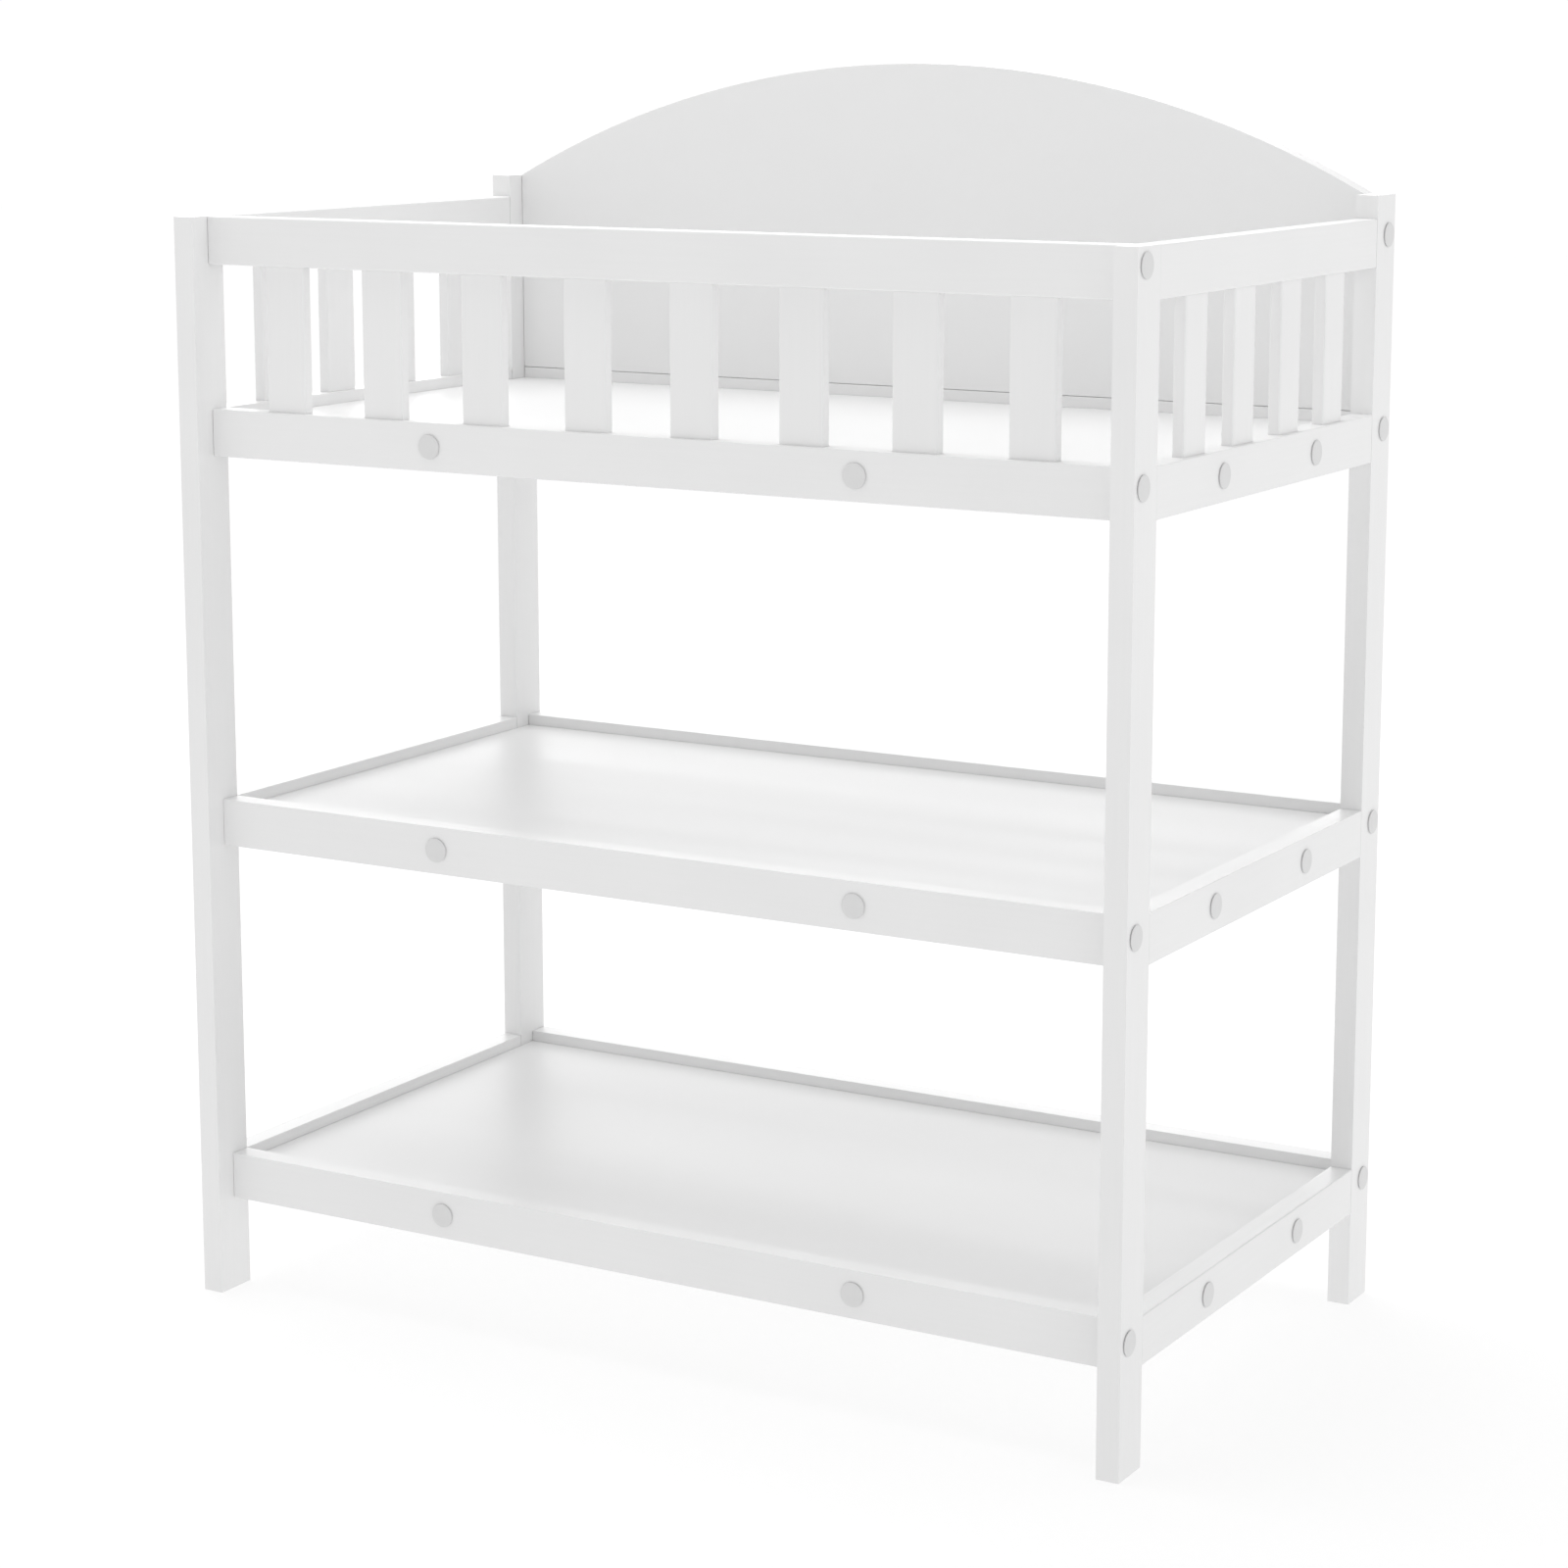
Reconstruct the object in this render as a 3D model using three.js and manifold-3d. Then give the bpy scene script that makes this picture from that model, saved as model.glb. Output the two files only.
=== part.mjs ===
// A changing table with an arched back, a slatted guard round its deck and two shelves below.
// Millimetres, +Z up. The origin is on the floor under the middle of the table: +X is its right
// end, -Y its front, where the parent stands. Posts, rails and boards meet with a hairline gap.
import * as THREE from "three";
import { mergeVertices } from "three/addons/utils/BufferGeometryUtils.js";
import Module from "manifold-3d";

// Overall sizes.
const overallWidth = 870; // over the outer faces of the posts
const overallDepth = 497; // over the front and back faces of the posts
const guardTop = 921; // floor to the top of the guard rails and of the front posts
const backPostRise = 19; // back posts above the guard rails
const archRise = 103.5; // crown of the back panel above the back posts

// Stock that the pieces are cut from.
const stock = 19; // thickness of every rail and of the back panel
const postWidth = 19; // across the table
const postDepth = 38.5; // front to back
const railHeight = 39.5;
const boardThickness = 19;
const jointGap = 0.3; // hairline at every glued or bolted joint

// Heights of the rails, to their top edges.
const guardRise = 159; // guard rails above the rails of the changing deck
const middleRailTop = 431;
const bottomRailTop = 120;
const boardDrop = 10; // boards lie this far below the rails round them

// Slats of the guard.
const slatWidth = 38.8;
const slatThickness = 10;
const slatTenon = 8; // length held in each rail
const slatClearance = 0.3; // round a tenon in its mortise
const frontSlats = 8;
const frontSlatEndGap = 55.2; // post to the nearest slat
const sideSlats = 4;
const sideSlatEndGap = 56.3;

// Cam joints between rails and posts: a cam lock in one piece pulls on a bolt screwed in the other.
const camBoreRadius = 7.7;
const camSetback = 24.3; // cam axis to the joint face of its piece
const camBelowAxis = 4; // cam bore beyond the axis of its bolt
const boltBoreRadius = 3.5; // round the smooth neck of the bolt
const screwHoleRadius = 2.5; // for the threaded end of the bolt
const screwHoleDepth = 12;
const dowelHoleRadius = 3.05;
const dowelHoleDepth = 14;
const postFaceSkin = 7; // wood left behind a hole in a post's inner face
const sideJoint = { bolt: 6, dowel: -10 }; // heights from a rail's middle
const frontJoint = { bolt: -2, dowel: 13 };
const backJoint = { bolt: -5, dowel: -13 };
const panelLowJoint = { bolt: 30, dowel: 62 }; // heights from the panel's bottom edge
const panelHighJoint = { bolt: -68, dowel: -18 }; // heights from the tops of the back posts

// Screws that hold the boards to the rails.
const longRailScrews = 391; // distance between the two in a front or back rail
const sideRailScrews = 180;
const screwHeadRadius = 5.5;
const screwHeadDepth = 6;
const screwShankRadius = 3.6;
const boardHoleRadius = 2.7;
const boardHoleDepth = 38;

// Cover caps over the cams in the posts.
const capRadius = 10;
const capThickness = 1.8;
const capStemRadius = 3;
const capStemLength = 2;
const capSeat = 0.1; // hairline under a cap

// Facets.
const smallHoleSides = 8;
const camSides = 12;
const capSides = 16;
const archSteps = 40;
const overshoot = 1; // cuts start this far outside the face that they enter

// Places worked out from the sizes above.
const deckRailTop = guardTop - guardRise;
const backPostTop = guardTop + backPostRise;
const sideX = overallWidth / 2 - postWidth / 2; // middle of the posts and side rails
const postY = overallDepth / 2 - postDepth / 2; // middle of the posts
const railInPost = postDepth / 2 - stock / 2; // long rails sit this far behind a post's middle
const sideRailIn = (postWidth - stock) / 2; // side rails are flush with the posts' inner faces
const frontRailY = -postY + railInPost; // flush with the inner edges of the front posts
const backRailY = postY + railInPost; // flush with the back of the back posts
const longRailLength = overallWidth - 2 * postWidth - 2 * jointGap;
const sideRailLength = overallDepth - 2 * postDepth - 2 * jointGap;
const boardFront = frontRailY + stock / 2 + jointGap;
const boardBack = backRailY - stock / 2 - jointGap;
const boardMiddleY = (boardFront + boardBack) / 2;
const boardAxisDrop = boardDrop + boardThickness / 2; // middle of a board below its rails' tops
const camBoreDepth = stock / 2 + camBelowAxis;
const postCamBoreDepth = postWidth / 2 + sideRailIn + camBelowAxis;
const postFaceHoleDepth = Math.min(screwHoleDepth, postWidth - postFaceSkin);
const slatLength = guardRise - railHeight + 2 * slatTenon;
const slatMiddle = deckRailTop + (guardRise - railHeight) / 2;
const frontSlatPitch =
  (longRailLength + 2 * jointGap - 2 * frontSlatEndGap - slatWidth) / (frontSlats - 1);
const sideSlatPitch =
  (sideRailLength + 2 * jointGap - 2 * sideSlatEndGap - slatWidth) / (sideSlats - 1);
const spread = (count, pitch) =>
  Array.from({ length: count }, (_, i) => (i - (count - 1) / 2) * pitch);
const frontSlatX = spread(frontSlats, frontSlatPitch);
const sideSlatY = spread(sideSlats, sideSlatPitch);
const levels = [
  { name: "guard_top", top: guardTop, board: false },
  { name: "deck", top: deckRailTop, board: true },
  { name: "middle", top: middleRailTop, board: true },
  { name: "bottom", top: bottomRailTop, board: true },
];
const middleOf = (level) => level.top - railHeight / 2;

// Finishes: satin white paint on all the wood, and light grey caps.
const paint = () => new THREE.MeshStandardMaterial({ color: 0xf3f3f1, roughness: 0.45 });
const capPlastic = () => new THREE.MeshStandardMaterial({ color: 0xd2d2d0, roughness: 0.5 });

// Solids: closed geometries become solids for cutting, and come back as geometry.
const wasm = await Module();
wasm.setup();

function toSolid(geometry) {
  const bare = geometry.index ? geometry.toNonIndexed() : geometry.clone();
  bare.deleteAttribute("normal");
  bare.deleteAttribute("uv");
  const merged = mergeVertices(bare, 1e-4);
  return new wasm.Manifold(
    new wasm.Mesh({
      numProp: 3,
      vertProperties: merged.attributes.position.array,
      triVerts: new Uint32Array(merged.index.array),
    }),
  );
}

function toGeometry(solid) {
  const mesh = solid.getMesh();
  const geometry = new THREE.BufferGeometry();
  geometry.setAttribute("position", new THREE.BufferAttribute(mesh.vertProperties, 3));
  geometry.setIndex(new THREE.BufferAttribute(mesh.triVerts, 1));
  geometry.computeVertexNormals();
  return geometry;
}

function cut(blank, cutters) {
  let solid = toSolid(blank);
  for (const cutter of cutters) solid = solid.subtract(toSolid(cutter));
  return toGeometry(solid);
}

// A round hole whose mouth is at the given point and which runs along the given direction.
function bore(mouth, direction, radius, depth, sides = smallHoleSides) {
  const length = depth + overshoot;
  const along = new THREE.Vector3(...direction);
  const hole = new THREE.CylinderGeometry(radius, radius, length, sides);
  hole.rotateY(Math.PI / sides);
  hole.applyQuaternion(
    new THREE.Quaternion().setFromUnitVectors(new THREE.Vector3(0, 1, 0), along),
  );
  const middle = new THREE.Vector3(...mouth).addScaledVector(along, length / 2 - overshoot);
  return hole.translate(middle.x, middle.y, middle.z);
}

// A mortise for a slat, open at the top or underside of a rail.
function mortise(x, y, alongX, railSide) {
  const wide = slatWidth + 2 * slatClearance;
  const thick = slatThickness + 2 * slatClearance;
  const deep = slatTenon + slatClearance + overshoot;
  const pocket = new THREE.BoxGeometry(alongX ? wide : thick, alongX ? thick : wide, deep);
  return pocket.translate(x, y, railSide * (railHeight / 2 + overshoot - deep / 2));
}

// The stepped hole of a board screw, whose mouth is in the outer face of a rail.
function screwHole(mouth, direction) {
  return [
    bore(mouth, direction, screwHeadRadius, screwHeadDepth, camSides),
    bore(mouth, direction, screwShankRadius, stock + overshoot),
  ];
}

function pieceOf(name, geometry, material, x, y, z) {
  const mesh = new THREE.Mesh(geometry, material);
  mesh.name = name;
  mesh.position.set(x, y, z);
  return mesh;
}

// Posts. Their origin is the middle of the foot; side is -1 left or 1 right, end -1 front or 1 back.
function postGeometry(side, end, height) {
  const innerEdge = (-end * postDepth) / 2;
  const innerFace = (-side * postWidth) / 2;
  const sideAxis = -side * sideRailIn;
  const blank = new THREE.BoxGeometry(postWidth, postDepth, height).translate(0, 0, height / 2);
  const cuts = [];
  for (const level of levels) {
    const z = middleOf(level);
    const boltZ = z + sideJoint.bolt;
    const camMouth = [(side * postWidth) / 2, innerEdge + end * camSetback, boltZ];
    cuts.push(bore(camMouth, [-side, 0, 0], camBoreRadius, postCamBoreDepth, camSides));
    cuts.push(bore([sideAxis, innerEdge, boltZ], [0, end, 0], boltBoreRadius, camSetback));
    const dowelMouth = [sideAxis, innerEdge, z + sideJoint.dowel];
    cuts.push(bore(dowelMouth, [0, end, 0], dowelHoleRadius, dowelHoleDepth));
  }
  for (const [boltZ, dowelZ] of longJointHeights(end)) {
    const boltMouth = [innerFace, railInPost, boltZ];
    const dowelMouth = [innerFace, railInPost, dowelZ];
    cuts.push(bore(boltMouth, [side, 0, 0], screwHoleRadius, postFaceHoleDepth));
    cuts.push(bore(dowelMouth, [side, 0, 0], dowelHoleRadius, postFaceHoleDepth));
  }
  return cut(blank, cuts);
}

// Heights of the bolts and dowels between the posts and the long rails or the back panel.
function longJointHeights(end) {
  if (end < 0) {
    return levels.map((l) => [middleOf(l) + frontJoint.bolt, middleOf(l) + frontJoint.dowel]);
  }
  const rails = levels
    .filter((l) => l.board)
    .map((l) => [middleOf(l) + backJoint.bolt, middleOf(l) + backJoint.dowel]);
  const panelBottom = deckRailTop + jointGap;
  return [
    ...rails,
    [panelBottom + panelLowJoint.bolt, panelBottom + panelLowJoint.dowel],
    [backPostTop + panelHighJoint.bolt, backPostTop + panelHighJoint.dowel],
  ];
}

// The holes in one end of a long rail or of the panel: a cam from the back, its bolt and a dowel.
function longEndHoles(toward, boltZ, dowelZ) {
  const endX = (toward * longRailLength) / 2;
  const inward = [-toward, 0, 0];
  const camMouth = [endX - toward * camSetback, stock / 2, boltZ];
  return [
    bore(camMouth, [0, -1, 0], camBoreRadius, camBoreDepth, camSides),
    bore([endX, 0, boltZ], inward, boltBoreRadius, camSetback),
    bore([endX, 0, dowelZ], inward, dowelHoleRadius, dowelHoleDepth),
  ];
}

// Rails. Their origin is their middle.
function sideRailGeometry(side, level) {
  const blank = new THREE.BoxGeometry(stock, sideRailLength, railHeight);
  const cuts = [];
  for (const toward of [-1, 1]) {
    const endY = (toward * sideRailLength) / 2;
    const inward = [0, -toward, 0];
    cuts.push(bore([0, endY, sideJoint.bolt], inward, screwHoleRadius, screwHoleDepth));
    cuts.push(bore([0, endY, sideJoint.dowel], inward, dowelHoleRadius, dowelHoleDepth));
  }
  if (level.board) {
    const z = railHeight / 2 - boardAxisDrop;
    for (const y of spread(2, sideRailScrews)) {
      cuts.push(...screwHole([(side * stock) / 2, y, z], [-side, 0, 0]));
    }
  }
  const slatSide = { guard_top: -1, deck: 1 }[level.name];
  if (slatSide) for (const y of sideSlatY) cuts.push(mortise(0, y, false, slatSide));
  return cut(blank, cuts);
}

function longRailGeometry(end, level) {
  const blank = new THREE.BoxGeometry(longRailLength, stock, railHeight);
  const joint = end < 0 ? frontJoint : backJoint;
  const cuts = [-1, 1].flatMap((toward) => longEndHoles(toward, joint.bolt, joint.dowel));
  if (level.board) {
    const z = railHeight / 2 - boardAxisDrop;
    for (const x of spread(2, longRailScrews)) {
      cuts.push(...screwHole([x, (end * stock) / 2, z], [0, -end, 0]));
    }
  }
  const slatSide = { guard_top: -1, deck: 1 }[level.name];
  if (slatSide && end < 0) for (const x of frontSlatX) cuts.push(mortise(x, 0, true, slatSide));
  return cut(blank, cuts);
}

// The back panel, with its top edge one arc from post to post. Its origin is its bottom middle.
function panelGeometry() {
  const half = longRailLength / 2;
  const height = backPostTop - deckRailTop - jointGap;
  const radius = (half * half + archRise * archRise) / (2 * archRise);
  const centre = height + archRise - radius;
  const startAngle = Math.atan2(height - centre, half);
  const outline = new THREE.Shape();
  outline.moveTo(-half, 0);
  outline.lineTo(half, 0);
  outline.lineTo(half, height);
  outline.absarc(0, centre, radius, startAngle, Math.PI - startAngle, false);
  outline.closePath();
  const blank = new THREE.ExtrudeGeometry(outline, {
    depth: stock,
    bevelEnabled: false,
    curveSegments: archSteps,
  });
  blank.rotateX(Math.PI / 2).translate(0, stock / 2, 0);
  const cuts = [-1, 1].flatMap((toward) => [
    ...longEndHoles(toward, panelLowJoint.bolt, panelLowJoint.dowel),
    ...longEndHoles(toward, height + panelHighJoint.bolt, height + panelHighJoint.dowel),
  ]);
  return cut(blank, cuts);
}

// A board lies inside the rails and is held by screws into its edges. Its origin is its middle.
function boardGeometry() {
  const width = longRailLength;
  const depth = boardBack - boardFront;
  const blank = new THREE.BoxGeometry(width, depth, boardThickness);
  const cuts = [];
  for (const toward of [-1, 1]) {
    for (const x of spread(2, longRailScrews)) {
      const mouth = [x, (toward * depth) / 2, 0];
      cuts.push(bore(mouth, [0, -toward, 0], boardHoleRadius, boardHoleDepth));
    }
    for (const y of spread(2, sideRailScrews)) {
      const mouth = [(toward * width) / 2, y - boardMiddleY, 0];
      cuts.push(bore(mouth, [-toward, 0, 0], boardHoleRadius, boardHoleDepth));
    }
  }
  return cut(blank, cuts);
}

// A cover cap: a flat disc with a short stem. Its origin is where the disc meets the wood.
function capGeometry() {
  const profile = [
    [0, -capStemLength],
    [capStemRadius, -capStemLength],
    [capStemRadius, 0],
    [capRadius, 0],
    [capRadius, capThickness],
    [0, capThickness],
  ].map(([r, y]) => new THREE.Vector2(r, y));
  return new THREE.LatheGeometry(profile, capSides).rotateX(Math.PI / 2);
}

const slatGeometry = (alongX) =>
  new THREE.BoxGeometry(
    alongX ? slatWidth : slatThickness,
    alongX ? slatThickness : slatWidth,
    slatLength,
  );

// A side frame: two posts, four rails and the guard's slats between the upper two.
function sideFrame(side) {
  const frame = new THREE.Group();
  const label = side < 0 ? "left" : "right";
  const railX = -side * sideRailIn;
  frame.position.x = side * sideX;
  for (const end of [-1, 1]) {
    const post = (end < 0 ? "front_" : "back_") + label + "_post";
    const height = end < 0 ? guardTop : backPostTop;
    frame.add(pieceOf(post, postGeometry(side, end, height), paint(), 0, end * postY, 0));
    const capY = end * (postY - postDepth / 2 + camSetback);
    levels.forEach((level, i) => {
      const capZ = middleOf(level) + sideJoint.bolt;
      const capX = side * (postWidth / 2 + capSeat);
      const name = post + "_cap_" + (i + 1);
      const cap = pieceOf(name, capGeometry(), capPlastic(), capX, capY, capZ);
      cap.rotation.y = (side * Math.PI) / 2;
      frame.add(cap);
    });
  }
  for (const level of levels) {
    const name = label + "_" + level.name + "_rail";
    frame.add(pieceOf(name, sideRailGeometry(side, level), paint(), railX, 0, middleOf(level)));
  }
  sideSlatY.forEach((y, i) => {
    const name = label + "_slat_" + (i + 1);
    frame.add(pieceOf(name, slatGeometry(false), paint(), railX, y, slatMiddle));
  });
  return frame;
}

// The front: four rails and the guard's slats.
function frontFrame() {
  const frame = new THREE.Group();
  frame.position.y = frontRailY;
  for (const level of levels) {
    const name = "front_" + level.name + "_rail";
    frame.add(pieceOf(name, longRailGeometry(-1, level), paint(), 0, 0, middleOf(level)));
  }
  frontSlatX.forEach((x, i) => {
    const name = "front_slat_" + (i + 1);
    frame.add(pieceOf(name, slatGeometry(true), paint(), x, 0, slatMiddle));
  });
  return frame;
}

// The back: three rails and the arched panel that stands on the upper one.
function backFrame() {
  const frame = new THREE.Group();
  frame.position.y = backRailY;
  for (const level of levels.filter((l) => l.board)) {
    const name = "back_" + level.name + "_rail";
    frame.add(pieceOf(name, longRailGeometry(1, level), paint(), 0, 0, middleOf(level)));
  }
  const panelZ = deckRailTop + jointGap;
  frame.add(pieceOf("arched_back_panel", panelGeometry(), paint(), 0, 0, panelZ));
  return frame;
}

function boards() {
  const group = new THREE.Group();
  const names = { deck: "changing_deck", middle: "middle_shelf", bottom: "bottom_shelf" };
  for (const level of levels.filter((l) => l.board)) {
    const z = level.top - boardAxisDrop;
    group.add(pieceOf(names[level.name], boardGeometry(), paint(), 0, boardMiddleY, z));
  }
  return group;
}

const changingTable = new THREE.Group();
changingTable.add(sideFrame(-1), sideFrame(1), frontFrame(), backFrame(), boards());

export default changingTable;
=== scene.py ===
# Changing table in satin white paint, with grey cover caps over its cam locks and screws,
# standing on a pale studio floor. Every length below is in millimetres until mm() makes it metres.
import math

import bmesh
import bpy
from mathutils import Matrix, Vector


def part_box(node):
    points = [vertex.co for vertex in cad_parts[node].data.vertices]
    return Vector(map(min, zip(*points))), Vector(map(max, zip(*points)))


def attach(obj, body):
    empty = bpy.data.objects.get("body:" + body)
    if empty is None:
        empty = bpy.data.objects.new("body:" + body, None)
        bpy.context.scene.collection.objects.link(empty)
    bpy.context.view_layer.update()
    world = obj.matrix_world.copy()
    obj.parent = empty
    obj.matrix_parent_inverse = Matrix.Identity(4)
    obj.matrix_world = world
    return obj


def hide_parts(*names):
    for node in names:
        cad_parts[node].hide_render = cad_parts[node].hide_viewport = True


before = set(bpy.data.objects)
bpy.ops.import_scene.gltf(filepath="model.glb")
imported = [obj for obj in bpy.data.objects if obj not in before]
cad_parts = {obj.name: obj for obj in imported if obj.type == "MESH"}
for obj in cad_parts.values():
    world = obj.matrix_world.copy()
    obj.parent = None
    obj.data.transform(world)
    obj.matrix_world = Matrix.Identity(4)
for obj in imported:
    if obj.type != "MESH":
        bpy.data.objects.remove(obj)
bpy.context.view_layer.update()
print("frame:", len(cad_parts), "nodes")

body = "root"
levels = ("guard_top", "deck", "middle", "bottom")
boardLevels = levels[1:]
sides = {"left": -1, "right": 1}
ends = {"front": -1, "back": 1}


def mm(value):
    return value / 1000


def linearColour(hexCode):
    channels = [int(hexCode[i:i + 2], 16) / 255 for i in (1, 3, 5)]
    linear = [c / 12.92 if c <= 0.04045 else ((c + 0.055) / 1.055) ** 2.4 for c in channels]
    return (*linear, 1.0)


# Adds a node to a tree. A value given to an input may be another node's output, which is linked.
def addNode(tree, kind, settings=None, inputs=None):
    node = tree.nodes.new(kind)
    for name, value in (settings or {}).items():
        setattr(node, name, value)
    for name, value in (inputs or {}).items():
        if isinstance(value, bpy.types.NodeSocket):
            tree.links.new(value, node.inputs[name])
        else:
            node.inputs[name].default_value = value
    return node


def newMaterial(name):
    material = bpy.data.materials.new(name)
    material.use_nodes = True
    material.node_tree.nodes.clear()
    return material


# A texture scale for features so many millimetres across, along one axis or along each of three.
def perMetre(size):
    if isinstance(size, (tuple, list)):
        return [1000 / s for s in size]
    return 1000 / size


# Mix nodes keep a socket for each kind of value under the same names, so colours go by number.
mixFactor, mixFirst, mixSecond, mixResult = 0, 6, 7, 2

# A noise texture's values mostly lie between these two, so they are spread from here.
noiseLow, noiseHigh = 0.3, 0.7


# Satin waterborne lacquer, sprayed over planed pine: an even soft white with a low sheen. Up close
# the sheen breaks up along the grain, which the thin coat still follows, and over a fine orange peel.
woodPaint = {
    "white": "#eeeeee",
    "thinWhite": "#eaeaea",  # where the coat is thinnest
    "toneSize": 160,
    "toneShare": 0.75,  # of the change in colour, the rest of which follows the grain
    "grainWidth": 2.4,  # pine's rings are 1 to 3 mm apart on a planed face
    "grainLength": 90,
    "grainDepth": 0.015,
    "peelSize": 3.0,  # real orange peel is nearer 1 mm, drawn coarser so that it shows
    "peelDepth": 0.012,
    "roughness": (0.38, 0.44),
    "ior": 1.5,
}


def sprayedPine(name, along):
    paint = woodPaint
    material = newMaterial(name)
    tree = material.node_tree
    place = addNode(tree, "ShaderNodeTexCoord").outputs["Object"]
    ringSize = [paint["grainWidth"]] * 3
    ringSize["xyz".index(along)] = paint["grainLength"]
    stretched = addNode(tree, "ShaderNodeMapping", {}, {
        "Vector": place, "Scale": perMetre(ringSize)})
    grain = addNode(tree, "ShaderNodeTexNoise", {}, {
        "Vector": stretched.outputs["Vector"], "Scale": 1.0, "Detail": 3.0, "Roughness": 0.6})
    tone = addNode(tree, "ShaderNodeTexNoise", {}, {
        "Vector": place, "Scale": perMetre(paint["toneSize"]), "Detail": 2.0})
    peel = addNode(tree, "ShaderNodeTexNoise", {}, {
        "Vector": place, "Scale": perMetre(paint["peelSize"]), "Detail": 1.0})
    broad = addNode(tree, "ShaderNodeMapRange", {}, {
        "Value": tone.outputs["Fac"], "From Min": noiseLow, "From Max": noiseHigh,
        "To Max": paint["toneShare"]})
    fine = addNode(tree, "ShaderNodeMapRange", {}, {
        "Value": grain.outputs["Fac"], "From Min": noiseLow, "From Max": noiseHigh,
        "To Max": 1 - paint["toneShare"]})
    thinness = addNode(tree, "ShaderNodeMath", {"operation": "ADD"}, {
        0: broad.outputs["Result"], 1: fine.outputs["Result"]})
    colour = addNode(tree, "ShaderNodeMix", {"data_type": "RGBA"}, {
        mixFactor: thinness.outputs["Value"],
        mixFirst: linearColour(paint["white"]), mixSecond: linearColour(paint["thinWhite"])})
    sheen = addNode(tree, "ShaderNodeMapRange", {}, {
        "Value": grain.outputs["Fac"], "From Min": noiseLow, "From Max": noiseHigh,
        "To Min": paint["roughness"][0], "To Max": paint["roughness"][1]})
    grainBump = addNode(tree, "ShaderNodeBump", {}, {
        "Height": grain.outputs["Fac"], "Distance": mm(paint["grainDepth"])})
    peelBump = addNode(tree, "ShaderNodeBump", {}, {
        "Height": peel.outputs["Fac"], "Distance": mm(paint["peelDepth"]),
        "Normal": grainBump.outputs["Normal"]})
    surface = addNode(tree, "ShaderNodeBsdfPrincipled", {}, {
        "Base Color": colour.outputs[mixResult], "Roughness": sheen.outputs["Result"],
        "Normal": peelBump.outputs["Normal"], "IOR": paint["ior"]})
    addNode(tree, "ShaderNodeOutputMaterial", {}, {"Surface": surface.outputs["BSDF"]})
    return material


# The same white rolled on to sanded fibreboard: no grain, only the fine stipple of a foam roller
# over the very slight lap marks of its passes.
boardPaint = {
    "white": "#eeeeee",
    "thinWhite": "#ebebeb",
    "toneSize": 260,
    "lapWidth": 70,  # the passes of the roller run the long way
    "lapLength": 900,
    "stippleSize": 2.6,  # a foam roller leaves about 1 mm, drawn coarser so that it shows
    "stippleDepth": 0.02,
    "roughness": (0.42, 0.48),
    "ior": 1.5,
}


def rolledFibreboard(name):
    paint = boardPaint
    material = newMaterial(name)
    tree = material.node_tree
    place = addNode(tree, "ShaderNodeTexCoord").outputs["Object"]
    passes = addNode(tree, "ShaderNodeMapping", {}, {
        "Vector": place,
        "Scale": perMetre([paint["lapLength"], paint["lapWidth"], paint["lapWidth"]])})
    laps = addNode(tree, "ShaderNodeTexNoise", {}, {
        "Vector": passes.outputs["Vector"], "Scale": 1.0, "Detail": 1.0})
    tone = addNode(tree, "ShaderNodeTexNoise", {}, {
        "Vector": place, "Scale": perMetre(paint["toneSize"]), "Detail": 2.0})
    stipple = addNode(tree, "ShaderNodeTexNoise", {}, {
        "Vector": place, "Scale": perMetre(paint["stippleSize"]), "Detail": 2.0})
    colour = addNode(tree, "ShaderNodeMix", {"data_type": "RGBA"}, {
        mixFactor: tone.outputs["Fac"],
        mixFirst: linearColour(paint["white"]), mixSecond: linearColour(paint["thinWhite"])})
    sheen = addNode(tree, "ShaderNodeMapRange", {}, {
        "Value": laps.outputs["Fac"], "From Min": noiseLow, "From Max": noiseHigh,
        "To Min": paint["roughness"][0], "To Max": paint["roughness"][1]})
    bump = addNode(tree, "ShaderNodeBump", {}, {
        "Height": stipple.outputs["Fac"], "Distance": mm(paint["stippleDepth"])})
    surface = addNode(tree, "ShaderNodeBsdfPrincipled", {}, {
        "Base Color": colour.outputs[mixResult], "Roughness": sheen.outputs["Result"],
        "Normal": bump.outputs["Normal"], "IOR": paint["ior"]})
    addNode(tree, "ShaderNodeOutputMaterial", {}, {"Surface": surface.outputs["BSDF"]})
    return material


# Polypropylene, injection moulded in a spark-eroded tool: a pale grey with a fine even grit, so
# that it looks drier and a shade darker than the paint round it.
capPlastic = {
    "grey": "#dfdfdf",
    "flowGrey": "#d9d9d9",
    "flowSize": 14,  # faint flow marks out from the gate
    "gritSize": 0.7,  # spark erosion leaves about 0.1 mm, drawn coarser so that it shows
    "gritDepth": 0.02,
    "roughness": (0.5, 0.6),
    "ior": 1.49,
}


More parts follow.
